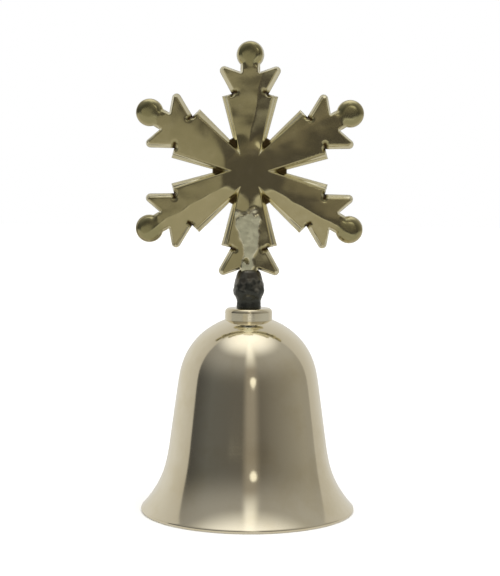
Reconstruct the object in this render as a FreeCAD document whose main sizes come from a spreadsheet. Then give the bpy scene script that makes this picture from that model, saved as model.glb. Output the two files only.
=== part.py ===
"""Christmas hand bell: a flared brass cup under a collar, a cast snowflake for its handle, and a clapper on a short chain.

Frame: millimetres, +Z up, origin on the bell's axis in the plane that its lip stands on.
The snowflake faces -Y. Every driving dimension is a cell of the spreadsheet, and the features are bound to the cells.
"""

import FreeCAD, Part

import math
import os

import Sketcher

V = FreeCAD.Vector

DIMENSIONS = {
    # cup, outside: a straight waist between two tangent arcs, the flare and the shoulder
    "lip_radius": 27.4,
    "lip_nose": 0.5,
    "waist_low_radius": 20.5,
    "waist_low_height": 14.6,
    "waist_high_radius": 17.75,
    "waist_high_height": 35.0,
    "crown_radius": 6.2,
    "crown_height": 49.0,
    # cup, inside
    "wall": 1.35,
    "crown_wall": 1.5,
    "lip_inner_radius": 25.3,
    "seat_radius": 4.6,
    # collar between the cup and the handle
    "collar_radius": 6.05,
    "collar_height": 3.1,
    "collar_round": 1.1,
    "socket_radius": 3.05,
    "socket_depth": 1.0,
    # screw line that runs through crown, collar and handle
    "screw_radius": 1.5,
    "screw_clearance": 1.6,
    "tapped_radius": 1.52,
    "washer_radius": 3.5,
    "washer_thickness": 0.5,
    "nut_flats": 5.5,
    "nut_height": 2.4,
    "screw_top": 60.0,
    "screw_point": 0.3,
    # eye at the foot of the screw
    "eye_radius": 3.0,
    "eye_wire": 1.2,
    "eye_height": 39.6,
    # two chain links
    "link_wire": 0.6,
    "link_bow": 2.1,
    "link_straight": 3.4,
    "link_joint_gap": 0.12,
    "chain_play": 0.05,
    # clapper
    "loop_radius": 1.7,
    "clapper_height": 12.6,
    "ball_radius": 5.3,
    "pin_radius": 0.8,
    "pin_depth": 3.4,
    "pin_clearance": 0.02,
    # snowflake, measured from its own centre
    "flake_height": 87.0,
    "flake_half": 2.1,
    "rim_root_half": 2.48,
    "rim_shoulder_half": 7.15,
    "rim_shoulder_out": 18.9,
    "rim_notch_half": 4.7,
    "rim_notch_out": 19.55,
    "rim_leaf_round": 1.15,
    "rim_neck_half": 2.55,
    "rim_neck_out": 25.2,
    "crest_root_half": 1.52,
    "crest_shoulder_half": 6.02,
    "crest_shoulder_out": 18.24,
    "crest_notch_half": 3.31,
    "crest_notch_out": 18.96,
    "crest_leaf_round": 0.22,
    "crest_neck_half": 1.62,
    "crest_neck_out": 23.89,
    "leaf_half": 6.6,
    "leaf_out": 25.4,
    "neck_end": 28.6,
    "bead_out": 29.0,
    "bead_long": 4.0,
    "bead_wide": 3.55,
    "bead_thick": 2.3,
    "web_radius": 9.4,
    "web_half": 0.75,
    # boss and stem under the snowflake
    "stem_radius": 2.95,
    "stem_top": 53.8,
    "boss_radius": 3.95,
    "boss_height": 57.0,
    "boss_neck": 3.3,
    "boss_neck_height": 60.4,
    "boss_tip": 62.4,
}

ARMS = 6
doc = FreeCAD.newDocument("snowflake_bell")
sheet = doc.addObject("Spreadsheet::Sheet", "Dimensions")
for row, (alias, value) in enumerate(DIMENSIONS.items(), start=1):
    sheet.set(f"A{row}", alias)
    sheet.set(f"B{row}", str(value))
    sheet.setAlias(f"B{row}", alias)
doc.recompute()


def cell(alias):
    """The number in a cell of the spreadsheet."""
    return float(sheet.get(alias))


def bound(expression):
    """(value now, expression for FreeCAD) of a formula written with the cells' aliases."""
    names = sorted(DIMENSIONS, key=len, reverse=True)
    value = formula_value(expression)
    written = " ".join(f"Dimensions.{w}" if w in names else w for w in expression.split())
    return value, written


def formula_value(expression):
    """The value of a formula whose words are aliases, numbers, + and -, separated by spaces."""
    total, sign = 0.0, 1
    for word in expression.split():
        if word in "+-":
            sign = 1 if word == "+" else -1
            continue
        total += sign * (cell(word) if word in DIMENSIONS else float(word))
    return total


def at(formula):
    """The value of a formula, or 0 for the word axis."""
    return 0.0 if formula == "axis" else formula_value(formula)


# ---------------------------------------------------------------- sketching


def plane_of(body, role):
    return next(f for f in body.Origin.OriginFeatures if f.Role == role)


def sketch_on(body, role, name):
    """An empty sketch on one of the body's own origin planes."""
    sketch = body.newObject("Sketcher::SketchObject", name)
    sketch.AttachmentSupport = [(plane_of(body, role), "")]
    sketch.MapMode = "FlatFace"
    return sketch


def drive(sketch, kind, target, expression):
    """Adds a dimension to the sketch and binds it to the spreadsheet."""
    value, written = bound(expression)
    index = sketch.addConstraint(Sketcher.Constraint(kind, *target, value))
    label = f"d{index}"
    sketch.renameConstraint(index, label)
    sketch.setExpression(f"Constraints.{label}", written)


def pin(sketch, point, x, y):
    """Fixes a point, (geometry, end), at formulas x and y. The word axis puts it on that axis."""
    if x == "axis":
        sketch.addConstraint(Sketcher.Constraint("PointOnObject", *point, -2))
    else:
        drive(sketch, "DistanceX", (-1, 1, *point), x)
    if y == "axis":
        sketch.addConstraint(Sketcher.Constraint("PointOnObject", *point, -1))
    else:
        drive(sketch, "DistanceY", (-1, 1, *point), y)


def draw_loop(sketch, corners, bulges=(), smooth=()):
    """A closed chain through the corners. bulges maps a side to its arc's middle point, and the corners in smooth
    are tangent joints. Returns, for each side, its geometry with the ends it starts and finishes at."""
    bulges = dict(bulges)
    sides = []
    for i, start in enumerate(corners):
        finish = corners[(i + 1) % len(corners)]
        curve = Part.Arc(start, bulges[i], finish) if i in bulges else Part.LineSegment(start, finish)
        index = sketch.addGeometry(curve, False)
        forward = sketch.getPoint(index, 1).distanceToPoint(start) < 1e-6
        sides.append((index, 1, 2) if forward else (index, 2, 1))
    for i, (index, start, _) in enumerate(sides):
        before, _, finish = sides[i - 1]
        kind = "Tangent" if i in smooth else "Coincident"
        sketch.addConstraint(Sketcher.Constraint(kind, before, finish, index, start))
    return sides


def middle(start, finish, bulge):
    """The middle point of an arc that leaves its chord by bulge, to the left of the way it goes."""
    chord = finish - start
    left = V(-chord.y, chord.x, 0).normalize()
    return (start + finish) * 0.5 + left * bulge


def spin(body, sketch, name, kind="PartDesign::Revolution"):
    """Turns the sketch's profile round the body's Z axis."""
    feature = body.newObject(kind, name)
    feature.Profile = sketch
    feature.ReferenceAxis = (plane_of(body, "Z_Axis"), [""])
    feature.Angle = 360
    return feature


def new_body(label):
    body = doc.addObject("PartDesign::Body", label)
    body.Label = label
    return body


def turned(label, profile, bulges=(), smooth=()):
    """A body turned from one profile, whose corners are (radius formula, height formula)."""
    body = new_body(label)
    sketch = sketch_on(body, "XZ_Plane", label + "_profile")
    corners = [V(at(r), at(z), 0) for r, z in profile]
    sides = draw_loop(sketch, corners, bulges, smooth)
    for (index, start, _), (r, z) in zip(sides, profile):
        pin(sketch, (index, start), r, z)
    spin(body, sketch, label + "_turned")
    return body


# ---------------------------------------------------------------- cup and collar


def make_cup():
    """A thin shell with a flared lip, a rounded nose on the lip's edge and a hole in its flat crown."""
    body = new_body("bell_cup")
    sketch = sketch_on(body, "XZ_Plane", "cup_profile")
    outer = [("screw_clearance", "crown_height"), ("crown_radius", "crown_height")]
    outer += [("waist_high_radius", "waist_high_height"), ("waist_low_radius", "waist_low_height")]
    inner = [("lip_inner_radius", "axis"), ("waist_low_radius - wall", "waist_low_height")]
    inner += [("waist_high_radius - wall", "waist_high_height")]
    inner += [("seat_radius", "crown_height - crown_wall"), ("screw_clearance", "crown_height - crown_wall")]
    nose, lip = cell("lip_nose"), cell("lip_radius")
    lean = math.radians(45)
    nose_centre = V(lip - nose, nose, 0)
    nose_start = nose_centre + V(math.sin(lean), math.cos(lean), 0) * nose
    nose_end = V(lip - nose, 0, 0)
    corners = [V(at(r), at(z), 0) for r, z in outer] + [nose_start, nose_end]
    corners += [V(at(r), at(z), 0) for r, z in inner]
    bulges = {
        1: middle(corners[1], corners[2], 2.5),
        3: middle(corners[3], nose_start, -1.3),
        4: nose_centre + V(nose, 0, 0),
        6: middle(corners[6], corners[7], 1.3),
        8: middle(corners[8], corners[9], -2.5),
    }
    sides = draw_loop(sketch, corners, bulges, smooth=(2, 3, 4, 5, 7, 8))
    for number, (r, z) in zip((0, 1, 2, 3, 6, 7, 8, 9, 10), outer + inner):
        index, start, _ = sides[number]
        pin(sketch, (index, start), r, z)
    arc = sides[4][0]
    drive(sketch, "Radius", (arc,), "lip_nose")
    drive(sketch, "DistanceX", (-1, 1, arc, 3), "lip_radius - lip_nose")
    sketch.addConstraint(Sketcher.Constraint("PointOnObject", sides[5][0], sides[5][1], -1))
    spin(body, sketch, "cup_turned")
    return body


def make_collar():
    """A ring that stands on the crown: padded, socketed for the stem and rounded at the top."""
    body = new_body("collar")
    ring = sketch_on(body, "XY_Plane", "collar_ring")
    for alias in ("collar_radius", "screw_clearance"):
        add_circle(ring, alias)
    pad = body.newObject("PartDesign::Pad", "collar_pad")
    pad.Profile = ring
    pad.setExpression("Length", "Dimensions.collar_height")
    socket = sketch_on(body, "XY_Plane", "collar_socket_circle")
    socket.AttachmentOffset = FreeCAD.Placement(V(0, 0, cell("collar_height")), FreeCAD.Rotation())
    socket.setExpression(".AttachmentOffset.Base.z", "Dimensions.collar_height")
    add_circle(socket, "socket_radius")
    pocket = body.newObject("PartDesign::Pocket", "collar_socket")
    pocket.Profile = socket
    pocket.setExpression("Length", "Dimensions.socket_depth")
    doc.recompute()
    rim = edge_names(pocket.Shape, cell("collar_radius"), cell("collar_height"))
    edge = body.newObject("PartDesign::Fillet", "collar_edge")
    edge.Base = (pocket, rim)
    edge.setExpression("Radius", "Dimensions.collar_round")
    body.Placement.Base = V(0, 0, cell("crown_height"))
    return body


def add_circle(sketch, formula):
    circle = sketch.addGeometry(Part.Circle(V(0, 0, 0), V(0, 0, 1), at(formula)), False)
    sketch.addConstraint(Sketcher.Constraint("Coincident", circle, 3, -1, 1))
    drive(sketch, "Radius", (circle,), formula)
    return circle


def edge_names(shape, radius, height):
    """The names of the round edges of that radius at that height in the body's own frame."""
    return [
        f"Edge{i}"
        for i, edge in enumerate(shape.Edges, start=1)
        if isinstance(edge.Curve, Part.Circle)
        and abs(edge.Curve.Radius - radius) < 1e-6
        and abs(edge.Curve.Center.z - height) < 1e-6
    ]


# ---------------------------------------------------------------- snowflake handle


def draw_arm(sketch, level):
    """One arm seen from the front: straight sides that widen to a stepped shoulder, a rounded leaf on each side,
    and a neck that ends inside the bead. The left half mirrors the right one. The level is rim or crest."""
    foot = [(f"{level}_root_half", "axis"), (f"{level}_shoulder_half", f"{level}_shoulder_out")]
    foot += [(f"{level}_notch_half", f"{level}_notch_out")]
    neck = [(f"{level}_neck_half", f"{level}_neck_out"), (f"{level}_neck_half", "neck_end")]
    leaf = V(cell("leaf_half"), cell("leaf_out"), 0)
    radius = cell(f"{level}_leaf_round")
    notch, crook = (V(at(x), at(y), 0) for x, y in (foot[2], neck[0]))
    low = tangent_point(notch, leaf, radius, 1)
    high = tangent_point(crook, leaf, radius, -1)
    half = [V(at(x), at(y), 0) for x, y in foot] + [low, high] + [V(at(x), at(y), 0) for x, y in neck]
    corners = half + [V(-p.x, p.y, 0) for p in reversed(half)]
    tip = leaf + (leaf - (notch + crook) * 0.5).normalize() * radius
    last = len(corners) - 1
    bulges = {3: tip, last - 4: V(-tip.x, tip.y, 0)}
    sides = draw_loop(sketch, corners, bulges, smooth=(3, 4, last - 4, last - 3))
    for number, (x, y) in zip((0, 1, 2, 5, 6), foot + neck):
        pin(sketch, sides[number][:2], x, y)
        index, _, mirrored = sides[last - 1 - number]
        sketch.addConstraint(Sketcher.Constraint("Symmetric", *sides[number][:2], index, mirrored, -2))
    arc, other = sides[3][0], sides[last - 4][0]
    drive(sketch, "Radius", (arc,), f"{level}_leaf_round")
    pin(sketch, (arc, 3), "leaf_half", "leaf_out")
    sketch.addConstraint(Sketcher.Constraint("Equal", arc, other))
    sketch.addConstraint(Sketcher.Constraint("Symmetric", arc, 3, other, 3, -2))


def tangent_point(point, centre, radius, side):
    """Where the line from the point touches the circle, on the side asked for: 1 right of the way, -1 left."""
    way = centre - point
    reach = math.sqrt(way.Length**2 - radius**2)
    turn = -side * math.asin(radius / way.Length)
    c, s = math.cos(turn), math.sin(turn)
    along = V(way.x * c - way.y * s, way.x * s + way.y * c, 0).normalize()
    return point + along * reach


def add_bead(body, turn):
    """The flattened round bead at the tip of the arm that is turned that many degrees from the top one."""
    bead = body.newObject("PartDesign::AdditiveEllipsoid", f"bead_{turn}")
    bead.setExpression("Radius1", "Dimensions.bead_long")
    bead.setExpression("Radius2", "Dimensions.bead_wide")
    bead.setExpression("Radius3", "Dimensions.bead_thick")
    bead.Placement = FreeCAD.Placement(V(0, 0, 0), FreeCAD.Rotation(V(0, 1, 0), turn))
    bead.setExpression(".Placement.Base.x", f"Dimensions.bead_out * sin({turn} deg)")
    bead.setExpression(".Placement.Base.z", f"Dimensions.bead_out * cos({turn} deg)")


def make_handle():
    """The casting: six arms with domed beads at their tips, a thin web between their roots, and below the lowest
    arm a round boss and the stem, bored and tapped from underneath for the screw."""
    body = new_body("snowflake_handle")
    rim, front, back = (sketch_on(body, "XZ_Plane", f"arm_{name}") for name in ("rim", "front", "back"))
    draw_arm(rim, "rim")
    for crest, side in ((front, ""), (back, "-")):
        draw_arm(crest, "crest")
        crest.setExpression(".AttachmentOffset.Base.z", f"{side}Dimensions.flake_half")
    arm = body.newObject("PartDesign::AdditiveLoft", "arm")
    arm.Profile = back
    arm.Sections = [rim, front]
    arm.Ruled = True
    star = body.newObject("PartDesign::PolarPattern", "six_arms")
    star.Originals = [arm]
    star.Axis = (plane_of(body, "Y_Axis"), [""])
    star.Angle = 360
    star.Occurrences = ARMS
    body.Tip = star
    for number in range(ARMS):
        if number != ARMS // 2:
            add_bead(body, 360 * number // ARMS)
    web = sketch_on(body, "XZ_Plane", "web_circle")
    add_circle(web, "web_radius")
    disc = body.newObject("PartDesign::Pad", "web")
    disc.Profile = web
    disc.SideType = "Symmetric"
    disc.setExpression("Length", "2 * Dimensions.web_half")
    foot = "crown_height + collar_height - socket_depth"
    rise = "- flake_height"
    stem = sketch_on(body, "XZ_Plane", "stem_profile")
    profile = [("axis", f"{foot} {rise}"), ("stem_radius", f"{foot} {rise}"), ("stem_radius", f"stem_top {rise}")]
    profile += [("boss_radius", f"boss_height {rise}"), ("boss_neck", f"boss_neck_height {rise}")]
    profile += [("axis", f"boss_tip {rise}")]
    corners = [V(at(r), at(z), 0) for r, z in profile]
    bulges = {2: middle(corners[2], corners[3], -0.2), 3: middle(corners[3], corners[4], -0.25)}
    sides = draw_loop(stem, corners, bulges, smooth=(3,))
    for (index, start, _), (r, z) in zip(sides, profile):
        pin(stem, (index, start), r, z)
    upright = sides[3][0]
    stem.addConstraint(Sketcher.Constraint("PointOnObject", upright, 3, upright_line(stem, "boss_height", rise)))
    spin(body, stem, "stem")
    bore = sketch_on(body, "XZ_Plane", "bore_profile")
    top = f"screw_top + screw_point {rise}"
    profile = [("axis", f"{foot} {rise} - 1"), ("tapped_radius", f"{foot} {rise} - 1")]
    profile += [("tapped_radius", top), ("axis", top)]
    sides = draw_loop(bore, [V(at(r), at(z), 0) for r, z in profile])
    for (index, start, _), (r, z) in zip(sides, profile):
        pin(bore, (index, start), r, z)
    spin(body, bore, "tapped_hole", "PartDesign::Groove")
    body.Placement.Base = V(0, 0, cell("flake_height"))
    return body


def upright_line(sketch, height, rise):
    """A level construction line at that height, for an arc that is widest there."""
    z = at(f"{height} {rise}")
    line = sketch.addGeometry(Part.LineSegment(V(0, z, 0), V(1, z, 0)), True)
    pin(sketch, (line, 1), "axis", f"{height} {rise}")
    sketch.addConstraint(Sketcher.Constraint("Horizontal", line))
    drive(sketch, "DistanceX", (line, 1, line, 2), "1")
    return line


# ---------------------------------------------------------------- screw, washer and nut


def make_eye_bolt():
    """A screw whose foot is bent into a closed eye. The eye stands in the XZ plane."""
    profile = [("axis", "eye_height + eye_radius"), ("screw_radius", "eye_height + eye_radius")]
    profile += [("screw_radius", "screw_top - screw_point"), ("screw_radius - screw_point", "screw_top")]
    profile += [("axis", "screw_top")]
    body = turned("eye_bolt", profile)
    add_ring(body, "eye", "eye_radius", "eye_wire", "eye_height", across=True)
    return body


def add_ring(body, name, radius, wire, height, across):
    """A ring of wire round a level axis: across lays it in the XZ plane, and otherwise it is in the YZ plane."""
    ring = body.newObject("PartDesign::AdditiveTorus", name)
    ring.setExpression("Radius1", f"Dimensions.{radius}")
    ring.setExpression("Radius2", f"Dimensions.{wire}")
    axis = V(1, 0, 0) if across else V(0, 1, 0)
    ring.Placement = FreeCAD.Placement(V(0, 0, at(height)), FreeCAD.Rotation(axis, 90))
    _, written = bound(height)
    ring.setExpression(".Placement.Base.z", written)
    return ring


def make_washer():
    """A flat ring under the crown."""
    top = "crown_height - crown_wall"
    low = f"{top} - washer_thickness"
    return turned(
        "crown_washer",
        [("screw_clearance", low), ("washer_radius", low), ("washer_radius", top), ("screw_clearance", top)],
    )


def make_nut():
    """A hexagon nut with its corners turned off at both faces."""
    body = new_body("lock_nut")
    hexagon = sketch_on(body, "XY_Plane", "nut_hexagon")
    corner = cell("nut_flats") / math.sqrt(3)
    points = [V(corner * math.cos(a), corner * math.sin(a), 0) for a in sixths()]
    sides = draw_loop(hexagon, points)
    frame = hexagon.addGeometry(Part.Circle(V(0, 0, 0), V(0, 0, 1), corner), True)
    hexagon.addConstraint(Sketcher.Constraint("Coincident", frame, 3, -1, 1))
    hexagon.addConstraint(Sketcher.Constraint("PointOnObject", sides[0][0], sides[0][1], -1))
    for index, start, _ in sides:
        hexagon.addConstraint(Sketcher.Constraint("PointOnObject", index, start, frame))
    for index, _, _ in sides[1:]:
        hexagon.addConstraint(Sketcher.Constraint("Equal", sides[0][0], index))
    size = hexagon.addConstraint(Sketcher.Constraint("Radius", frame, corner))
    hexagon.renameConstraint(size, "corner_radius")
    hexagon.setExpression("Constraints.corner_radius", "Dimensions.nut_flats / sqrt(3)")
    add_circle(hexagon, "tapped_radius")
    pad = body.newObject("PartDesign::Pad", "nut_pad")
    pad.Profile = hexagon
    pad.setExpression("Length", "Dimensions.nut_height")
    for name, face, inward in (("lower_chamfer", 0, 1), ("upper_chamfer", cell("nut_height"), -1)):
        cut = sketch_on(body, "XZ_Plane", name + "_profile")
        flat = cell("nut_flats") / 2
        reach = corner + 0.3
        fall = (reach - flat) * math.tan(math.radians(30))
        points = [V(flat, face, 0), V(reach, face, 0), V(reach, face + inward * fall, 0)]
        draw_loop(cut, points)
        spin(body, cut, name, "PartDesign::Groove")
    low = "crown_height - crown_wall - washer_thickness - nut_height"
    body.Placement.Base = V(0, 0, at(low))
    return body


def sixths():
    return [math.radians(60 * i) for i in range(6)]


# ---------------------------------------------------------------- chain and clapper


def make_link(label, top, across):
    """A chain link of round wire, bent to a slot shape with a butt joint half way up one side.
    top is the height of its upper wire's centre, and across turns it into the XZ plane."""
    body = new_body(label)
    path = sketch_on(body, "XZ_Plane", label + "_path")
    bow, straight, gap = cell("link_bow"), cell("link_straight"), cell("link_joint_gap")
    foot, head = V(0, -bow - straight, 0), V(0, -bow, 0)
    joint = -bow - straight / 2
    points = [V(bow, joint - gap / 2, 0), V(bow, foot.y, 0), V(-bow, foot.y, 0)]
    points += [V(-bow, head.y, 0), V(bow, head.y, 0), V(bow, joint + gap / 2, 0)]
    bows = {1: foot + V(0, -bow, 0), 3: head + V(0, bow, 0)}
    for i in range(len(points) - 1):
        start, finish = points[i], points[i + 1]
        curve = Part.Arc(start, bows[i], finish) if i in bows else Part.LineSegment(start, finish)
        path.addGeometry(curve, False)
    section = sketch_on(body, "XY_Plane", label + "_section")
    section.AttachmentOffset = FreeCAD.Placement(V(bow, 0, points[0].y), FreeCAD.Rotation())
    wire = section.addGeometry(Part.Circle(V(0, 0, 0), V(0, 0, 1), cell("link_wire")), False)
    section.addConstraint(Sketcher.Constraint("Coincident", wire, 3, -1, 1))
    drive(section, "Radius", (wire,), "link_wire")
    section.setExpression(".AttachmentOffset.Base.x", "Dimensions.link_bow")
    pipe = body.newObject("PartDesign::AdditivePipe", label + "_wire")
    pipe.Profile = section
    pipe.Spine = (path, [f"Edge{i}" for i in range(1, len(points))])
    turn = 0 if across else 90
    body.Placement = FreeCAD.Placement(V(0, 0, top), FreeCAD.Rotation(V(0, 0, 1), turn))
    return body


def chain_heights():
    """Heights of the wire centres where each piece of the chain hangs: (pivot below, wire above) from the top."""
    play, wire = cell("chain_play"), cell("link_wire")
    eye = cell("eye_height") - cell("eye_radius")
    upper = eye + cell("eye_wire") + wire + play
    length = 2 * cell("link_bow") + cell("link_straight")
    upper_foot = upper - length
    lower = upper_foot + 2 * wire + play
    lower_foot = lower - length
    loop = lower_foot + 2 * wire + play
    return {"eye": eye, "upper": upper, "upper_foot": upper_foot, "lower": lower, "lower_foot": lower_foot, "loop": loop}


def make_clapper_pin(loop_top):
    """A wire pin with a ring at its head, in the YZ plane, whose foot is set into the ball."""
    body = new_body("clapper_pin")
    sketch = sketch_on(body, "XZ_Plane", "pin_profile")
    centre = loop_top - cell("loop_radius")
    head = centre - cell("loop_radius")
    foot = cell("clapper_height") + cell("ball_radius") - cell("pin_depth")
    radius = cell("pin_radius")
    points = [V(0, foot, 0), V(radius, foot, 0), V(radius, head, 0), V(0, head, 0)]
    sides = draw_loop(sketch, points)
    pin(sketch, sides[0][:2], "axis", "clapper_height + ball_radius - pin_depth")
    pin(sketch, sides[1][:2], "pin_radius", "clapper_height + ball_radius - pin_depth")
    spin(body, sketch, "pin_shank")
    ring = body.newObject("PartDesign::AdditiveTorus", "pin_loop")
    ring.setExpression("Radius1", "Dimensions.loop_radius")
    ring.setExpression("Radius2", "Dimensions.link_wire")
    ring.Placement = FreeCAD.Placement(V(0, 0, centre), FreeCAD.Rotation(V(0, 1, 0), 90))
    return body


def make_ball():
    """The clapper's ball, with a blind hole in its top for the pin."""
    body = new_body("clapper_ball")
    ball = body.newObject("PartDesign::AdditiveSphere", "ball")
    ball.setExpression("Radius", "Dimensions.ball_radius")
    ball.setExpression(".Placement.Base.z", "Dimensions.clapper_height")
    hole = sketch_on(body, "XZ_Plane", "ball_hole_profile")
    low = "clapper_height + ball_radius - pin_depth"
    high = "clapper_height + ball_radius + 1"
    profile = [("axis", low), ("pin_radius + pin_clearance", low), ("pin_radius + pin_clearance", high), ("axis", high)]
    sides = draw_loop(hole, [V(at(r), at(z), 0) for r, z in profile])
    for (index, start, _), (r, z) in zip(sides, profile):
        pin(hole, (index, start), r, z)
    spin(body, hole, "ball_hole", "PartDesign::Groove")
    return body


# ---------------------------------------------------------------- build, check and write

levels = chain_heights()
bodies = [
    make_cup(),
    make_collar(),
    make_handle(),
    make_eye_bolt(),
    make_washer(),
    make_nut(),
    make_link("upper_link", levels["upper"], across=False),
    make_link("lower_link", levels["lower"], across=True),
    make_clapper_pin(levels["loop"]),
    make_ball(),
]
doc.recompute()

failed = [o.Name for o in doc.Objects if "Invalid" in o.State or "Error" in o.State]
if failed:
    raise RuntimeError(f"these objects failed to compute: {failed}")

os.makedirs("parts", exist_ok=True)
for body in bodies:
    shape = body.Shape
    if shape.isNull() or not shape.isValid() or not shape.Solids:
        raise RuntimeError(f"{body.Label} has no valid solid")
    box = shape.optimalBoundingBox(False)
    shape.exportStep(f"parts/{body.Label}.step")
    print(
        f"{body.Label:18s} solids {len(shape.Solids)} volume {shape.Volume:9.2f} "
        f"x {box.XMin:7.2f} {box.XMax:7.2f} y {box.YMin:7.2f} {box.YMax:7.2f} z {box.ZMin:7.2f} {box.ZMax:7.2f}"
    )
print("chain levels", {name: round(value, 3) for name, value in levels.items()})
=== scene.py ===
"""Looks for the Christmas hand bell: a spun and polished cup, a turned collar, and a cast snowflake with a
dark patina in its recesses. Lengths are written in millimetres and turned into metres by MM."""

import math

import bmesh
import bpy
import numpy as np
from mathutils import Matrix, Vector, noise
from mathutils.geometry import delaunay_2d_cdt


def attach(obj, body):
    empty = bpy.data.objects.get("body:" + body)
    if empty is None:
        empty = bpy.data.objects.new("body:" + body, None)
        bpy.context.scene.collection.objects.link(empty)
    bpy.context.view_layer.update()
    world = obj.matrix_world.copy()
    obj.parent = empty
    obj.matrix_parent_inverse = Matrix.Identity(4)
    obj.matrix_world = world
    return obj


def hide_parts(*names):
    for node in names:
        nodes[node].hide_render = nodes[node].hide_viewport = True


MM = 0.001
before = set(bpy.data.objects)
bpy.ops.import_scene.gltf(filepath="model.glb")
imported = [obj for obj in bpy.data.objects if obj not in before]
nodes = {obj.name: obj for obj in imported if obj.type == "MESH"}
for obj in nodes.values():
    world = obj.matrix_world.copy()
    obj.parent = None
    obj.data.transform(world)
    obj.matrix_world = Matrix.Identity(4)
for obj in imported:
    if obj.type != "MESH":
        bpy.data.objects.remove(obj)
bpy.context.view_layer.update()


# ---------------------------------------------------------------- node trees


class Tree:
    """Short calls for building a shader's nodes."""

    def __init__(self, owner):
        owner.use_nodes = True
        self.nodes = owner.node_tree.nodes
        self.links = owner.node_tree.links
        self.nodes.clear()

    def add(self, kind, **settings):
        """A node. Settings are its properties, and inputs has a value or another's output for each socket."""
        node = self.nodes.new(kind)
        inputs = settings.pop("inputs", {})
        for name, value in settings.items():
            setattr(node, name, value)
        for socket, value in inputs.items():
            self.feed(node.inputs[socket], value)
        return node

    def feed(self, socket, value):
        if isinstance(value, bpy.types.NodeSocket):
            self.links.new(value, socket)
        else:
            socket.default_value = value

    def math(self, operation, a, b=0.0, c=0.0):
        node = self.add("ShaderNodeMath", operation=operation, inputs={0: a, 1: b, 2: c})
        return node.outputs[0]

    def step(self, value, low, high):
        """0 up to low and 1 from high on, with a smooth change between. low may be above high."""
        node = self.add("ShaderNodeMapRange", interpolation_type="SMOOTHSTEP")
        node.inputs[1].default_value = low
        node.inputs[2].default_value = high
        self.feed(node.inputs[0], value)
        return node.outputs[0]

    def mix(self, factor, a, b):
        """A colour between a and b."""
        node = self.add("ShaderNodeMix", data_type="RGBA")
        self.feed(node.inputs[0], factor)
        self.feed(node.inputs[6], a)
        self.feed(node.inputs[7], b)
        return node.outputs[2]

    def ramp(self, value, stops):
        """A colour by a value from 0 to 1. Stops are (place, colour)."""
        node = self.add("ShaderNodeValToRGB", inputs={0: value})
        elements = node.color_ramp.elements
        while len(elements) > 1:
            elements.remove(elements[-1])
        elements[0].position = stops[0][0]
        elements[0].color = stops[0][1]
        for place, colour in stops[1:]:
            elements.new(place).color = colour
        return node.outputs[0]

    def noise(self, vector, scale, detail=2.0, roughness=0.5):
        inputs = {"Vector": vector, "Scale": scale, "Detail": detail, "Roughness": roughness}
        return self.add("ShaderNodeTexNoise", inputs=inputs).outputs["Fac"]

    def bump(self, height, depth, normal=None):
        """A normal from a height between 0 and 1 that stands for depth in millimetres."""
        inputs = {"Strength": 1.0, "Distance": depth * MM, "Height": height}
        if normal:
            inputs["Normal"] = normal
        return self.add("ShaderNodeBump", inputs=inputs).outputs[0]


def rgb(red, green, blue, gain=1.0):
    """A linear colour from sRGB bytes, times a gain."""

    def linear(byte):
        x = byte / 255
        return x / 12.92 if x <= 0.04045 else ((x + 0.055) / 1.055) ** 2.4

    return (linear(red) * gain, linear(green) * gain, linear(blue) * gain, 1.0)


# ---------------------------------------------------------------- camera, studio and floor

CAMERA_PLACE = (0.3 * MM, -335 * MM, 77 * MM)
CAMERA_PITCH = math.radians(3.39)
CAMERA_ROLL = math.radians(0.4)
CAMERA_LENS = 81.8


def make_camera():
    data = bpy.data.cameras.new("camera")
    data.lens = CAMERA_LENS
    data.sensor_width = 36
    data.clip_start = 0.01
    data.clip_end = 20
    camera = bpy.data.objects.new("camera", data)
    bpy.context.scene.collection.objects.link(camera)
    level = Matrix.Rotation(math.pi / 2 - CAMERA_PITCH, 4, "X")
    roll = Matrix.Rotation(CAMERA_ROLL, 4, "Z")
    camera.matrix_world = Matrix.Translation(CAMERA_PLACE) @ level @ roll
    bpy.context.scene.camera = camera


# Azimuths are in degrees round the bell: 0 is straight in front and 90 is to its right. The other fades are
# by how far upwards a direction points: 0 is level and 1 is straight up. Each fade is a pair: where it
# starts, and where it is complete.
OPENING = [
    (-180, rgb(150, 148, 144)),
    (-96, rgb(66, 65, 64)),
    (-60, rgb(92, 92, 90)),
    (10, rgb(92, 88, 82)),
    (90, rgb(144, 140, 130)),
    (180, rgb(150, 148, 144)),
]
OPENING_TOP = rgb(170, 168, 164)
OPENING_FOOT = rgb(178, 177, 172)
TENT_EDGE = rgb(180, 176, 168)
TENT = rgb(208, 207, 204)
CEILING = rgb(250, 248, 244, 1.25)
TABLE = rgb(194, 190, 182)
STRIP_LAMP = rgb(140, 134, 124)
STRIP_LAMP_ENDS = rgb(228, 226, 220)
ROUND_LAMP = rgb(232, 228, 214, 1.2)
PALE_CARD = rgb(172, 168, 156)
DARK_CARD = rgb(84, 80, 80)
STUDIO_STRENGTH = 1.12

TOP_FADE = (0.1, 0.8)
TOP_SHARE = 0.6
FOOT_FADE = (-0.03, -0.055)
FOOT_SHARE = 0.8
CEILING_FADE = (0.74, 1.06)
TABLE_FADE = (-0.12, -0.17)
STRIP_SIDES = ((-10, 1), (21, 7))
STRIP_TOP_FADE = (0.45, 0.85)
STRIP_FOOT_FADE = (-0.03, -0.06)
ROUND_LAMP_WAY = (0.14, -0.97, 0.26)
ROUND_LAMP_FADE = (0.9955, 0.998)
PALE_CARD_SIDES = ((-30, -24), (-4, -6))
PALE_CARD_TOP_FADE = (0.07, 0.05)
DARK_CARD_SIDES = ((-6, -4), (34, 26))
DARK_CARD_TOP_FADE = (0.075, 0.055)
DARK_CARD_FOOT_FADE = (-0.068, -0.056)
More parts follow.
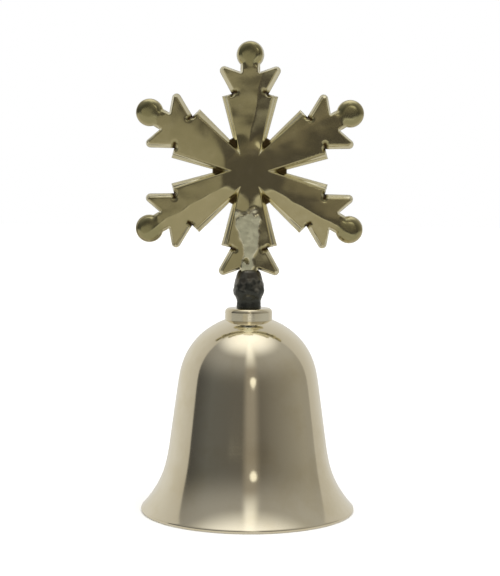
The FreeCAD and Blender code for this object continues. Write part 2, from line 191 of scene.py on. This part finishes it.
# The tent is behind a slanting plane, and reaches further forward high up on the right.
TENT_SLANT = (-0.19, -0.06)
TENT_RIGHT_LEAN = 0.25
TENT_EDGE_FADE = (0.215, 0.245)
TENT_FADE = (0.22, 1.1)


def turns(degrees):
    """An azimuth's place on a ramp, where -180 to 180 degrees becomes 0 to 1."""
    return (degrees + 180) / 360


def between_sides(tree, around, sides):
    """1 between two azimuths and 0 outside them."""
    left, right = [tree.step(around, turns(outer), turns(inner)) for outer, inner in sides]
    return tree.math("MULTIPLY", left, right)


def tent_depth(tree, x, y, z):
    """How far a direction points to the tent's side of the slanting plane."""
    side = tree.math("MULTIPLY", tree.math("MAXIMUM", x, 0.0), z)
    depth = tree.math("MULTIPLY_ADD", x, TENT_SLANT[0], tree.math("MULTIPLY_ADD", z, TENT_SLANT[1], y))
    return tree.math("MULTIPLY_ADD", side, TENT_RIGHT_LEAN, depth)


def make_studio():
    """Plain soft studio light: a pale tent with a darker opening in front, a tall strip lamp in the opening
    and a small round one beside it. Mirrors and dull surfaces see it, and the camera sees plain white."""
    world = bpy.data.worlds.new("studio")
    bpy.context.scene.world = world
    tree = Tree(world)
    way = tree.add("ShaderNodeTexCoord").outputs["Generated"]
    x, y, z = tree.add("ShaderNodeSeparateXYZ", inputs={0: way}).outputs
    azimuth = tree.math("ARCTAN2", x, tree.math("MULTIPLY", y, -1.0))
    around = tree.math("MULTIPLY_ADD", azimuth, 1 / math.tau, 0.5)
    light = tree.ramp(around, [(turns(degrees), grey) for degrees, grey in OPENING])
    light = tree.mix(tree.math("MULTIPLY", tree.step(z, *TOP_FADE), TOP_SHARE), light, OPENING_TOP)
    light = tree.mix(tree.math("MULTIPLY", tree.step(z, *FOOT_FADE), FOOT_SHARE), light, OPENING_FOOT)
    ends = tree.math("MAXIMUM", tree.step(z, *STRIP_TOP_FADE), tree.step(z, *STRIP_FOOT_FADE))
    strip = tree.mix(ends, STRIP_LAMP, STRIP_LAMP_ENDS)
    light = tree.mix(between_sides(tree, around, STRIP_SIDES), light, strip)
    light = cards(tree, light, around, z)
    light = tree.mix(tree.step(z, *CEILING_FADE), light, CEILING)
    light = tree.mix(glow(tree, way, ROUND_LAMP_WAY, ROUND_LAMP_FADE), light, ROUND_LAMP)
    depth = tent_depth(tree, x, y, z)
    tent = tree.mix(tree.step(depth, *TENT_FADE), TENT_EDGE, TENT)
    light = tree.mix(tree.step(depth, *TENT_EDGE_FADE), light, tent)
    light = tree.mix(tree.step(z, *TABLE_FADE), light, TABLE)
    seen = tree.add("ShaderNodeLightPath").outputs["Is Camera Ray"]
    studio = tree.add("ShaderNodeBackground", inputs={"Color": light, "Strength": STUDIO_STRENGTH})
    plain = tree.add("ShaderNodeBackground", inputs={"Color": (1, 1, 1, 1), "Strength": 1.0})
    both = tree.add("ShaderNodeMixShader", inputs={0: seen, 1: studio.outputs[0], 2: plain.outputs[0]})
    tree.add("ShaderNodeOutputWorld", inputs={"Surface": both.outputs[0]})


def cards(tree, light, around, z):
    """The studio's light with two plain cards at about the snowflake's height, a pale one on the left and a
    dark one on the right, which give its flat facets their contrast."""
    pale = between_sides(tree, around, PALE_CARD_SIDES)
    pale = tree.math("MULTIPLY", pale, tree.step(z, *PALE_CARD_TOP_FADE))
    light = tree.mix(pale, light, PALE_CARD)
    level = tree.math("MULTIPLY", tree.step(z, *DARK_CARD_TOP_FADE), tree.step(z, *DARK_CARD_FOOT_FADE))
    dark = tree.math("MULTIPLY", between_sides(tree, around, DARK_CARD_SIDES), level)
    return tree.mix(dark, light, DARK_CARD)


def glow(tree, way, towards, fade):
    """1 near a direction and 0 away from it. The fade is between two cosines."""
    towards = Vector(towards).normalized()
    dot = tree.add("ShaderNodeVectorMath", operation="DOT_PRODUCT", inputs={0: way, 1: tuple(towards)})
    return tree.step(dot.outputs["Value"], *fade)


FLOOR_HALF = 6.0
FLOOR_DROP = 0.05 * MM
FLOOR_COLOUR = (0.93, 0.93, 0.92, 1)
SOFTBOX_POWER = 2.6
SOFTBOX_SPREAD = math.radians(100)
SOFTBOX_TILT = (math.radians(18), math.radians(8), 0)


def make_floor():
    """A pale floor, seen from above only, so that a look from underneath isn't blocked."""
    mesh = bpy.data.meshes.new("floor")
    corners = [(FLOOR_HALF * x, FLOOR_HALF * y, 0) for x, y in ((-1, -1), (1, -1), (1, 1), (-1, 1))]
    mesh.from_pydata(corners, [], [(0, 1, 2, 3)])
    floor = bpy.data.objects.new("floor", mesh)
    bpy.context.scene.collection.objects.link(floor)
    floor.location.z = -FLOOR_DROP
    floor.visible_glossy = False
    material = bpy.data.materials.new("floor")
    tree = Tree(material)
    pale = tree.add("ShaderNodeBsdfDiffuse", inputs={"Color": FLOOR_COLOUR})
    clear = tree.add("ShaderNodeBsdfTransparent")
    under = tree.add("ShaderNodeNewGeometry").outputs["Backfacing"]
    both = tree.add("ShaderNodeMixShader", inputs={0: under, 1: pale.outputs[0], 2: clear.outputs[0]})
    tree.add("ShaderNodeOutputMaterial", inputs={"Surface": both.outputs[0]})
    mesh.materials.append(material)


def make_lights():
    """Soft light from above that the floor and dull metal see, and mirrors don't."""
    data = bpy.data.lights.new("softbox", "SUN")
    data.energy = SOFTBOX_POWER
    data.angle = SOFTBOX_SPREAD
    softbox = bpy.data.objects.new("softbox", data)
    bpy.context.scene.collection.objects.link(softbox)
    softbox.rotation_euler = SOFTBOX_TILT
    softbox.visible_glossy = False


# ---------------------------------------------------------------- metal


PATCH_SCALE = 90.0
RING_SCALE = (120.0, 120.0, 9000.0)
GRAIN_SCALE = 700.0


def metal(name, colour, worn, roughness, mottle=0.06, turning=0.0, anisotropic=0.0, grain=0.0):
    """A metal. worn is its colour in blotches, mottle how much the roughness varies with them, turning the
    depth of fine rings round Z, and grain the depth of a drawn or hammered surface's small unevenness."""
    material = bpy.data.materials.new(name)
    tree = Tree(material)
    where = tree.add("ShaderNodeTexCoord").outputs["Object"]
    shader = tree.add("ShaderNodeBsdfPrincipled")
    shader.inputs["Metallic"].default_value = 1.0
    shader.inputs["Anisotropic"].default_value = anisotropic
    patches = tree.noise(where, PATCH_SCALE, 4.0, 0.6)
    tree.feed(shader.inputs["Base Color"], tree.mix(tree.step(patches, 0.4, 0.75), colour, worn))
    tree.feed(shader.inputs["Roughness"], tree.math("MULTIPLY_ADD", patches, mottle, roughness - mottle / 2))
    if anisotropic:
        way = tree.add("ShaderNodeTangent", direction_type="RADIAL", axis="Z")
        tree.feed(shader.inputs["Tangent"], way.outputs[0])
    normal = None
    if turning:
        stretch = tree.add("ShaderNodeMapping", inputs={0: where, 3: RING_SCALE})
        normal = tree.bump(tree.noise(stretch.outputs[0], 1.0), turning)
    if grain:
        normal = tree.bump(tree.noise(where, GRAIN_SCALE, 3.0, 0.55), grain, normal)
    if normal:
        tree.feed(shader.inputs["Normal"], normal)
    tree.add("ShaderNodeOutputMaterial", inputs={"Surface": shader.outputs[0]})
    return material


# by place on the wear scale, where wear 0 is at 0.25 and wear 1 at 0.75
CAST_COLOURS = [
    (0.05, rgb(234, 236, 208)),
    (0.25, rgb(232, 226, 196)),
    (0.33, rgb(208, 201, 166)),
    (0.40, rgb(185, 176, 136)),
    (0.47, rgb(170, 165, 124)),
    (0.60, rgb(98, 80, 48)),
    (0.75, rgb(50, 40, 26)),
    (0.86, rgb(128, 126, 118)),
    (0.95, rgb(78, 80, 76)),
]
CAST_ROUGHNESS = [
    (0.10, 0.40),
    (0.22, 0.16),
    (0.40, 0.13),
    (0.50, 0.16),
    (0.75, 0.45),
    (0.85, 0.27),
    (0.95, 0.36),
]
CAST_RELIEF = 0.05


def cast_metal():
    """The casting's brass by its wear attribute: rough and pale below 0 where it was filed, bright at 0 along
    the bevels, dull at 0.3 on the flats, nearly black and rough at 1 in the recesses, and grey-black at 1.1
    to 1.5 on the stem."""
    material = bpy.data.materials.new("cast_patina")
    tree = Tree(material)
    where = tree.add("ShaderNodeTexCoord").outputs["Object"]
    wear = tree.add("ShaderNodeAttribute", attribute_name="wear").outputs["Fac"]
    cloud = tree.noise(where, 420.0, 5.0, 0.65)
    broad = tree.noise(where, 60.0, 3.0, 0.5)
    loose = tree.math("ADD", wear, tree.math("MULTIPLY_ADD", cloud, 0.16, -0.08))
    loose = tree.math("ADD", loose, tree.math("MULTIPLY_ADD", broad, 0.12, -0.06))
    place = tree.math("MULTIPLY_ADD", loose, 0.5, 0.25)
    colour = tree.ramp(place, CAST_COLOURS)
    rough = tree.ramp(place, [(at, (level, level, level, 1)) for at, level in CAST_ROUGHNESS])
    shader = tree.add("ShaderNodeBsdfPrincipled", inputs={"Base Color": colour, "Roughness": rough})
    shader.inputs["Metallic"].default_value = 1.0
    fine = tree.noise(where, 1100.0, 3.0, 0.6)
    coarse = tree.math("ADD", tree.step(wear, 0.35, 0.9), tree.step(wear, -0.05, -0.25))
    relief = tree.math("MULTIPLY", fine, tree.math("MULTIPLY_ADD", coarse, 0.9, 0.08))
    tree.feed(shader.inputs["Normal"], tree.bump(relief, CAST_RELIEF))
    tree.add("ShaderNodeOutputMaterial", inputs={"Surface": shader.outputs[0]})
    return material


# ---------------------------------------------------------------- meshes


def new_object(name, verts, faces, material, body, replaced=None):
    """A smooth visual piece that rides on a body, and stands in for a CAD node where one is named."""
    mesh = bpy.data.meshes.new(name)
    mesh.from_pydata([tuple(v) for v in verts], [], faces)
    mesh.validate()
    mesh.shade_smooth()
    mesh.materials.append(material)
    piece = bpy.data.objects.new(name, mesh)
    bpy.context.scene.collection.objects.link(piece)
    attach(piece, body)
    if replaced:
        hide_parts(replaced)
    return piece


def lathe(profile, around):
    """(vertices, faces) of a closed profile of (radius, height) in millimetres, turned round Z. The faces point
    outwards where the profile runs up the outside."""
    verts = []
    for i in range(around):
        angle = math.tau * i / around
        verts += [(r * math.cos(angle) * MM, r * math.sin(angle) * MM, z * MM) for r, z in profile]
    n = len(profile)
    faces = []
    for i in range(around):
        a = i * n
        b = (i + 1) % around * n
        faces += [(a + j, b + j, b + (j + 1) % n, a + (j + 1) % n) for j in range(n)]
    return verts, faces


def arc(centre, radius, start, end, count):
    """Points of an arc in a profile. Angles are in degrees from the outward radius."""
    angles = [math.radians(start + (end - start) * i / count) for i in range(count + 1)]
    return [(centre[0] + radius * math.cos(a), centre[1] + radius * math.sin(a)) for a in angles]


def flowing(points, step, reach, rounds):
    """The points resampled at an even step and smoothed, so that curvature changes gradually along the line.
    The ends stay where they are, and smoothing fades in over reach steps from each end."""
    p = np.array(points)
    walk = np.concatenate([[0], np.cumsum(np.hypot(*np.diff(p, axis=0).T))])
    at = np.linspace(0, walk[-1], max(2, round(walk[-1] / step)) + 1)
    line = np.column_stack([np.interp(at, walk, p[:, k]) for k in (0, 1)])
    steps = np.arange(len(line))
    share = np.clip(np.minimum(steps, steps[::-1]) / reach, 0, 1)[:, None]
    for _ in range(rounds):
        middle = (line[:-2] + line[2:]) / 2
        line[1:-1] += (middle - line[1:-1]) * share[1:-1] * 0.5
    return [tuple(v) for v in line]


# ---------------------------------------------------------------- cup

# points of the cup's profile, as (radius, height)
WAIST_LOW = (20.5, 14.6)
WAIST_HIGH = (17.75, 35.0)
LIP_OUTSIDE = (27.254, 0.854)
LIP_CENTRE = (26.9, 0.5)
LIP_NOSE = 0.5
MOUTH = (25.3, 0.0)
SHOULDER_TOP = (6.2, 49.0)
CROWN_FLAT = (3.6, 49.0)
CROWN_HOLE = (1.6, 49.0)
CROWN_HOLE_INSIDE = (1.6, 47.5)
DOME_TOP = (4.6, 47.5)
WALL = 1.35
CUP_AROUND = 288
SHARP = math.radians(35)


def between(start, way, finish, count):
    """Points of the arc that leaves start along the unit direction way and ends at finish."""
    start, way, finish = (np.array(v, float) for v in (start, way, finish))
    chord = finish - start
    side = np.array([-way[1], way[0]])
    across = chord @ side
    if abs(across) < 1e-9:
        return [tuple(start + chord * t) for t in np.linspace(0, 1, count + 1)]
    radius = chord @ chord / (2 * across)
    centre = start + side * radius
    first = math.atan2(*(start - centre)[::-1])
    last = math.atan2(*(finish - centre)[::-1])
    sweep = (last - first + math.pi) % math.tau - math.pi
    angles = first + sweep * np.linspace(0, 1, count + 1)
    return [(centre[0] + abs(radius) * math.cos(a), centre[1] + abs(radius) * math.sin(a)) for a in angles]


def make_cup(outside_material, inside_material):
    """The cup, turned from a profile whose waist flows into the flare and the shoulder. The profile runs down
    the outside, so the faces point into the metal."""
    waist = np.array(WAIST_HIGH) - np.array(WAIST_LOW)
    waist = waist / np.hypot(*waist)
    flare = between(WAIST_LOW, -waist, LIP_OUTSIDE, 40)[::-1]
    shoulder = between(WAIST_HIGH, waist, SHOULDER_TOP, 60)
    outer = flowing(flare + shoulder, 0.25, 14, 160)
    nose = arc(LIP_CENTRE, LIP_NOSE, 45, -90, 10)
    inner_low = (WAIST_LOW[0] - WALL, WAIST_LOW[1])
    inner_high = (WAIST_HIGH[0] - WALL, WAIST_HIGH[1])
    bore = between(inner_low, -waist, MOUTH, 30)[::-1]
    dome = between(inner_high, waist, DOME_TOP, 40)
    inner = flowing(bore + dome, 0.5, 7, 40)
    outside = [CROWN_HOLE, CROWN_FLAT] + outer[::-1] + nose[1:]
    profile = outside + inner + [CROWN_HOLE_INSIDE]
    verts, faces = lathe(profile, CUP_AROUND)
    piece = new_object("cup", verts, faces, outside_material, "bell", "bell_cup")
    piece.data.materials.append(inside_material)
    for face in piece.data.polygons:
        if face.index % len(profile) >= len(outside):
            face.material_index = 1
    sharpen(piece)


def sharpen(piece):
    """Marks the edges where faces meet at a clear angle as sharp."""
    mesh = bmesh.new()
    mesh.from_mesh(piece.data)
    for edge in mesh.edges:
        if len(edge.link_faces) == 2 and edge.calc_face_angle(0) > SHARP:
            edge.smooth = False
    mesh.to_mesh(piece.data)
    mesh.free()


# ---------------------------------------------------------------- snowflake

# An arm is drawn pointing up from the snowflake's middle, as (across, outwards). Each half is a thickness
# from the casting's middle plane, but ROOT_HALF is half of the arm's width at the middle.
FLAKE_HEIGHT = 87.0
ARM_TIP = (7.15, 18.9)
ARM_NOTCH = (4.7, 19.55)
NOTCH_END = (3.6, 19.95)
LEAF_CENTRE = (6.6, 25.4)
LEAF_ROUND = 1.15
NECK = (2.5, 25.15)
NECK_END = 28.4
CROOK = (2.9, 26.0)
BEAD_OUT = 29.45
BEAD_RADIUS = 3.52
BEAD_HALF = 2.15
BEAD_JOIN = (25.6, 27.6)
BEAD_EDGE_START = 24.5
WEB = 9.5
WEB_HALF = 0.7
WEB_ROUND = 0.5
ROOT_HALF = 2.15
ROOT_GROWTH = (ARM_TIP[0] - ROOT_HALF) / ARM_TIP[1]
ROOT_FOOT = (ROOT_HALF - 4 * ROOT_GROWTH, -4.0)
NOSE = 0.2
NOSE_HALF = 0.35
ARM_HALF = 2.1
ARM_CROWN_RADIUS = 180.0
BEVEL_BLEND = 0.04
DISH_RADIUS = 700.0
NOTCH_DEPTH = 0.4
NOTCH_WIDTH = 0.45
FINE_STEP = 0.17
COARSE_STEP = 0.4
FINE_REACH = 1.6
WELD = 0.02 * MM
# For each arm, clockwise from the top: how far its two facets lean to its right, in degrees, how far to its
# right the ridge between them starts and how far it strays for each millimetre outwards, and how far the
# whole arm leans outwards.
FACETS = [
    (-5, 9, -1.3, 0.18, -1.2),
    (-3.5, 0.5, -2.9, 0.0, 1.7),
    (-2, 8, 1.2, 0.0, 1.1),
    (-5, 5, 0.0, 0.0, 0.7),
    (-8, 1.3, 0.0, -0.02, 2.7),
    (-4.5, -3, 0.0, 0.0, 1.9),
]


def touch(point, centre, radius, side):
    """Where the line from the point touches the circle: side 1 is right of the way there, and -1 is left."""
    way = np.array(centre) - np.array(point)
    length = np.hypot(*way)
    turn = -side * math.asin(radius / length)
    c = math.cos(turn)
    s = math.sin(turn)
    along = np.array([way[0] * c - way[1] * s, way[0] * s + way[1] * c]) / length
    return np.array(point) + along * math.sqrt(length**2 - radius**2)


def arm_edge(beaded):
    """The right-hand edge of one arm, from where it leaves the web to its tip on the arm's line."""
    root = [(ROOT_HALF + ROOT_GROWTH * out, out) for out in np.arange(5, 12, 0.01)]
    start = next(point for point in root if math.hypot(*point) >= WEB)
    low = touch(ARM_NOTCH, LEAF_CENTRE, LEAF_ROUND, 1) - LEAF_CENTRE
    high = touch(NECK, LEAF_CENTRE, LEAF_ROUND, -1) - LEAF_CENTRE
    first = math.degrees(math.atan2(low[1], low[0]))
    last = math.degrees(math.atan2(high[1], high[0]))
    leaf = arc(LEAF_CENTRE, LEAF_ROUND, first, last, 12)
    edge = [start, ARM_TIP, ARM_NOTCH] + leaf + [NECK]
    if not beaded:
        return edge + [(NECK[0], NECK_END), (0.0, NECK_END)]
    low_angle = -math.degrees(math.acos(NECK[0] / BEAD_RADIUS))
    meet = BEAD_OUT + BEAD_RADIUS * math.sin(math.radians(low_angle))
    return edge + [(NECK[0], meet)] + arc((0, BEAD_OUT), BEAD_RADIUS, low_angle, 90, 30)[1:]


def walk_along(points, step):
    """The points with more between them, so that no run is longer than step."""
    out = []
    points = [np.array(p, float) for p in points]
    for a, b in zip(points, points[1:]):
        count = max(1, math.ceil(np.hypot(*(b - a)) / step))
        out += [a + (b - a) * k / count for k in range(count)]
    return out + points[-1:]


def sector_outline(beaded):
    """The closed outline of a sixth of the snowflake: two rays, the web's arcs and an arm's two edges."""
    edge = arm_edge(beaded)
    start = edge[0]
    first = math.degrees(math.atan2(start[1], start[0]))
    web = arc((0, 0), WEB, 60, first, 6)[:-1] if first > 60 else []
    sixth = math.radians(60)
    ray = [(0.0, 0.0), (WEB * math.cos(sixth), WEB * math.sin(sixth))]
    right = walk_along(ray, 0.3)[:-1] + walk_along(web + edge, 0.16)
    left = [np.array([-p[0], p[1]]) for p in right[-2:0:-1]]
    return np.array(right + left)


def distance(points, line):
    """How far each point is from the nearest stretch of the line."""
    best = np.full(len(points), 1e9)
    for a, b in zip(line, line[1:]):
        way = b - a
        share = np.clip((points - a) @ way / (way @ way + 1e-12), 0, 1)[:, None]
        best = np.minimum(best, np.hypot(*(points - a - share * way).T))
    return best


def inside(points, ring):
    """Which points lie inside the closed ring."""
    x, y = points.T
    odd = np.zeros(len(points), bool)
    for (ax, ay), (bx, by) in zip(ring, np.roll(ring, -1, axis=0)):
        crosses = (ay > y) != (by > y)
        with np.errstate(divide="ignore", invalid="ignore"):
            odd ^= crosses & (x < (bx - ax) * (y - ay) / (by - ay) + ax)
    return odd


def turned(points, degrees):
    """Points of the arm's own plane turned clockwise by degrees."""
    c = math.cos(math.radians(degrees))
    s = math.sin(math.radians(degrees))
    return np.column_stack([points[:, 0] * c + points[:, 1] * s, -points[:, 0] * s + points[:, 1] * c])


def arm_ring():
    """The closed outline of one whole arm with its bead, run on past the snowflake's middle."""
    half = walk_along([ROOT_FOOT] + arm_edge(True)[1:], 0.5)
    return np.array(half + [np.array([-p[0], p[1]]) for p in half[-2::-1]])


ARM_RING = arm_ring()


def ease(value, low, high):
    """0 below low and 1 above high, with a smooth rise between."""
    share = np.clip((value - low) / (high - low), 0, 1)
    return share * share * (3 - 2 * share)


def soft_max(a, b, width):
    """The larger of two heights, rounded over about width where they cross."""
    return np.maximum(a, b) + width * np.log1p(np.exp(-np.abs(a - b) / (width + 1e-9)))


def soft_min(a, b, width):
    return -soft_max(-a, -b, width)


def bevels():
    """The stretches of an arm's right-hand edge, each with its bevel's width at its start and at its end."""
    leaf = arm_edge(False)[2:]
    half = len(leaf) // 2
    stretches = [
        ([ROOT_FOOT, ARM_TIP], 0.3, 1.5),
        ([ARM_TIP, ARM_NOTCH], 0.35, 0.35),
        (leaf[:half], 0.95, 0.95),
        (leaf[half - 1 : -1], 0.55, 0.55),
    ]
    return [(np.array(line), first, last) for line, first, last in stretches]


BEVELS = bevels()
BEAD_EDGE = np.array([p for p in arm_edge(True) if p[1] > BEAD_EDGE_START])


def mirrored(points):
    """The points brought over to an arm's right-hand side."""
    return np.column_stack([np.abs(points[:, 0]), points[:, 1]])


def arm_height(points):
    """How far one arm's front stands before the middle plane without its bead and with it, and how bright its
    colour is made: 1 is fully rubbed bright, 0 like the flats, and below 0 duller than they are. Along the
    bevels this is rubbed brass; over the bead it is a painted highlight round the rim and painted shade over
    the middle."""
    found = inside(points, ARM_RING)
    half = mirrored(points)
    plain = ARM_HALF - half[:, 0] ** 2 / (2 * ARM_CROWN_RADIUS) * ease(np.hypot(*points.T), 5.0, 9.0)
    height = plain
    for line, first, last in BEVELS:
        depth = distance(half, line)
        along = np.clip((half[:, 1] - line[0][1]) / max(0.1, line[-1][1] - line[0][1]), 0, 1)
        width = first + (last - first) * along
        start = NOSE_HALF * np.sqrt(np.clip(1 - (1 - np.clip(depth / NOSE, 0, 1)) ** 2, 0, 1))
        rise = NOSE_HALF + (depth - NOSE) * (ARM_HALF - NOSE_HALF) / (width - NOSE * 0.5)
        height = soft_min(height, np.where(depth < NOSE, start, rise), BEVEL_BLEND)
    rub_and_bead_shading = ease(plain - height, 0.0, 0.3)
    height = np.where(points[:, 1] < NECK_END, height, 0.0)
    rim = 1 - np.clip(distance(half, BEAD_EDGE) / BEAD_RADIUS, 0, 1)
    bead = np.hypot(points[:, 0], points[:, 1] - BEAD_OUT) / BEAD_RADIUS
    dome = BEAD_HALF * np.sqrt(np.clip(1 - rim**6, 0, 1)) - 0.12 * np.minimum(bead, 1) ** 2
    share = ease(points[:, 1], *BEAD_JOIN)
    domed = height + (dome - height) * share
    # Over the bead the colour is painted: paler round the rim as a painted highlight, darker over the middle as
    # painted shade.
    rub_and_bead_shading = rub_and_bead_shading + (0.8 * ease(rim, 0.72, 0.95) - 0.4 - rub_and_bead_shading) * share
    return np.where(found, height, 0.0), np.where(found, domed, 0.0), np.where(found, rub_and_bead_shading, 0.0)


def front_height(points, beaded):
    """How far the casting's front stands before its middle plane, and its wear: 0 where rubbed bright along the
    bevels, 0.3 on the flat of the arms, and 1 in the darkest recesses. On the beads the same values carry a
    painted highlight round the rim and painted shade over the middle."""
    bare, domed, rub_and_bead_shading = arm_height(points)
    height = domed if beaded else bare
    for way in (-60, 60):
        height = np.maximum(height, arm_height(turned(points, way))[0])
    # The bead's painted highlight and painted shade come into the wear here, with the rubbed bevels.
    wear = 0.3 * (1 - rub_and_bead_shading)
    centre = np.hypot(*points.T)
    web = np.where(centre < WEB, WEB_HALF * np.sqrt(np.clip((WEB - centre) / WEB_ROUND, 0, 1)), 0.0)
    low = np.clip((web + 0.3 - height) / 0.3, 0, 1) * (centre < WEB)
    height = np.maximum(height, web)
    half = mirrored(points)
    groove = distance(half, np.array([ARM_NOTCH, NOTCH_END]))
    height = height - np.minimum(NOTCH_DEPTH * np.exp(-((groove / NOTCH_WIDTH) ** 2)), height * 0.8)
    notch = np.clip(1.0 - groove, 0, 1)
    crook = np.clip(0.75 - np.hypot(half[:, 0] - CROOK[0], half[:, 1] - CROOK[1]) / 1.1, 0, 1)
    return height, np.maximum(wear, np.maximum(low * 0.85, np.maximum(notch, crook)))


def spread(ring, step, near, far):
    """Points of a triangular grid inside the ring whose distance from the nearest arm's edge is near or more
    and less than far."""
    grid = []
    for i, y in enumerate(np.arange(0, ring[:, 1].max(), step * 0.866)):
        shift = step / 2 if i % 2 else 0
        grid += [(x, y) for x in np.arange(-9, 9, step) + shift]
    grid = np.array(grid)
    grid = grid[inside(grid, ring)]
    away = distance(grid, np.vstack([ring, ring[:1]]))
    rim = np.min([distance(turned(grid, way), ARM_RING) for way in (-60, 0, 60)], axis=0)
    return grid[(away > step * 0.55) & (rim >= near) & (rim < far)]


def sector(beaded):
    """A triangulated sixth of the casting: its points, triangles, heights and wear."""
    ring = sector_outline(beaded)
    fine = spread(ring, FINE_STEP, 0.0, FINE_REACH)
    coarse = spread(ring, COARSE_STEP, FINE_REACH, math.inf)
    cloud = [Vector(p) for p in np.vstack([ring, fine, coarse])]
    out = delaunay_2d_cdt(cloud, [], [list(range(len(ring)))], 1, 1e-6)
    verts = np.array([tuple(v) for v in out[0]])
    height, wear = front_height(verts, beaded)
    return verts, [tuple(f) for f in out[2]], height, wear


def lumps(points, scale, seed):
    """A smooth unevenness between about -1 and 1."""
    return np.array([noise.noise(Vector((x / scale, y / scale, seed))) for x, y in points]) * 1.6


def facets(points, arm):
    """How much an arm's front rises or falls from its two leaning facets, which meet along a soft ridge."""
    left, right, start, stray, outward = FACETS[arm]
    across = points[:, 0] - start - stray * points[:, 1] + 0.35 * lumps(points, 4.0, arm + 0.5)
    fall = -soft_max(across * math.tan(math.radians(right)), across * math.tan(math.radians(left)), 0.015)
    fall -= (points[:, 1] - 8) * math.tan(math.radians(outward))
    fall += np.maximum(points[:, 1] - 8, 0) ** 2 / (2 * DISH_RADIUS)
    return fall * ease(np.hypot(*points.T), 5.6, 10.0)


def filed(verts, height, wear, high):
    """The lowest arm's height and wear with its rough hand-filed patch, which is narrower further out."""
    narrow = 0.2 * np.clip(verts[:, 1] - 12.0, 0, 8)
    ragged = np.abs(verts[:, 0] - 0.3) + narrow - 0.9 * lumps(verts, 3.0, 6.1)
    patch = ease(verts[:, 1] + 1.5 * lumps(verts, 2.0, 2.2), 9.5, 11.5) * ease(-ragged, -3.5, -2.9) * high
    height = height + patch * (0.12 + 0.08 * lumps(verts, 2.2, 5.7) + 0.035 * lumps(verts, 0.9, 1.9))
    wear = wear * (1 - patch) - 0.3 * patch + 0.8 * patch * ease(lumps(verts, 1.3, 4.4), 0.7, 1.1)
    return height, wear


def make_flake(material):
    """The whole casting's front and back, six sectors each, welded into one skin. It is closed but for the
    lowest arm's outer end, which is open inside the boss. Its faces are a little uneven, and the lowest arm
    has no bead and is filed."""
    mesh = bmesh.new()
    layer = mesh.verts.layers.float.new("wear")
    sectors = {True: sector(True), False: sector(False)}
    for k in range(6):
        lowest = k == 3
        verts, tris, height, wear = sectors[not lowest]
        flat = turned(verts, 60 * k)
        high = ease(height, 0.9, 1.7)
        uneven = facets(verts, k) + 0.035 * lumps(flat, 7.0, 3.1) + 0.012 * lumps(flat, 2.6, 8.4)
        height = height + high * uneven
        if lowest:
            height, wear = filed(verts, height, wear, high)
        for way in (-1, 1):
            made = []
            for (x, z), h, w in zip(flat, height, wear):
                vert = mesh.verts.new((x * MM, way * h * MM, (z + FLAKE_HEIGHT) * MM))
                vert[layer] = w
                made.append(vert)
            for a, b, c in tris:
                loop = (made[a], made[b], made[c]) if way < 0 else (made[c], made[b], made[a])
                mesh.faces.new(loop)
    bmesh.ops.remove_doubles(mesh, verts=mesh.verts, dist=WELD)
    data = bpy.data.meshes.new("casting")
    mesh.to_mesh(data)
    mesh.free()
    data.validate()
    data.shade_smooth()
    data.materials.append(material)
    piece = bpy.data.objects.new("casting", data)
    bpy.context.scene.collection.objects.link(piece)
    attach(piece, "bell")
    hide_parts("snowflake_handle")


STEM = [(0.0, 51.1), (3.05, 51.1), (3.05, 52.15), (3.25, 52.4), (3.05, 52.8), (3.0, 53.9), (3.3, 54.7)]
BOSS = [(3.85, 55.7), (3.98, 56.9), (3.8, 58.2), (3.35, 59.9), (2.9, 61.4), (1.8, 62.2), (0.0, 62.4)]
LUMPY = (53, 60)
LUMP_SHARE = 0.05
STEM_WEAR = (1.1, 1.5)


def make_stem(material):
    """The boss and stem under the lowest arm, grey-black and a little paler towards the boss's top."""
    verts, faces = lathe(flowing(STEM + BOSS, 0.2, 2, 4), 96)
    piece = new_object("stem", verts, faces, material, "bell")
    layer = piece.data.attributes.new("wear", "FLOAT", "POINT")
    for vert, value in zip(piece.data.vertices, layer.data):
        place = vert.co / MM
        wave = noise.noise(place / 1.7) + 0.5 * noise.noise(place / 0.8)
        worn = STEM_WEAR[1] - max(0.0, place.z - 55.0) / 14.0 + 0.25 * wave
        value.value = min(STEM_WEAR[1], max(STEM_WEAR[0], worn))
        if LUMPY[0] < place.z < LUMPY[1]:
            vert.co.x *= 1 + LUMP_SHARE * wave
            vert.co.y *= 1 + LUMP_SHARE * wave


# ---------------------------------------------------------------- put together

bpy.context.scene.view_settings.view_transform = "Standard"
make_camera()
make_studio()
make_floor()
make_lights()

CUP_BRASS = rgb(245, 237, 214)
CUP_WORN = rgb(238, 228, 200)
HOLLOW_BRASS = rgb(214, 198, 160)
HOLLOW_WORN = rgb(170, 146, 100)
COLLAR_BRASS = rgb(242, 235, 212)
COLLAR_WORN = rgb(232, 220, 188)
FIXINGS_BRASS = rgb(214, 186, 120)
FIXINGS_WORN = rgb(150, 120, 66)
WIRE_BRASS = rgb(206, 176, 110)
WIRE_WORN = rgb(132, 104, 58)
BALL_BRASS = rgb(222, 196, 132)
BALL_WORN = rgb(168, 138, 82)

polish = metal("cup_polish", CUP_BRASS, CUP_WORN, 0.09, mottle=0.03, turning=0.002, anisotropic=0.4)
hollow = metal("cup_inside", HOLLOW_BRASS, HOLLOW_WORN, 0.34, turning=0.03, anisotropic=0.3)
collar = metal("collar_polish", COLLAR_BRASS, COLLAR_WORN, 0.1, turning=0.004, anisotropic=0.3)
fixings = metal("fixings", FIXINGS_BRASS, FIXINGS_WORN, 0.28, grain=0.02)
wire = metal("chain_wire", WIRE_BRASS, WIRE_WORN, 0.3, grain=0.02)
turned_ball = metal("clapper_brass", BALL_BRASS, BALL_WORN, 0.22, turning=0.01)
cast = cast_metal()

make_cup(polish, hollow)
make_flake(cast)
make_stem(cast)

carried = {
    "collar": collar,
    "eye_bolt": fixings,
    "crown_washer": fixings,
    "lock_nut": fixings,
    "upper_link": wire,
    "lower_link": wire,
    "clapper_pin": wire,
    "clapper_ball": turned_ball,
}
for name, material in carried.items():
    for socket in nodes[name].material_slots:
        socket.material = material
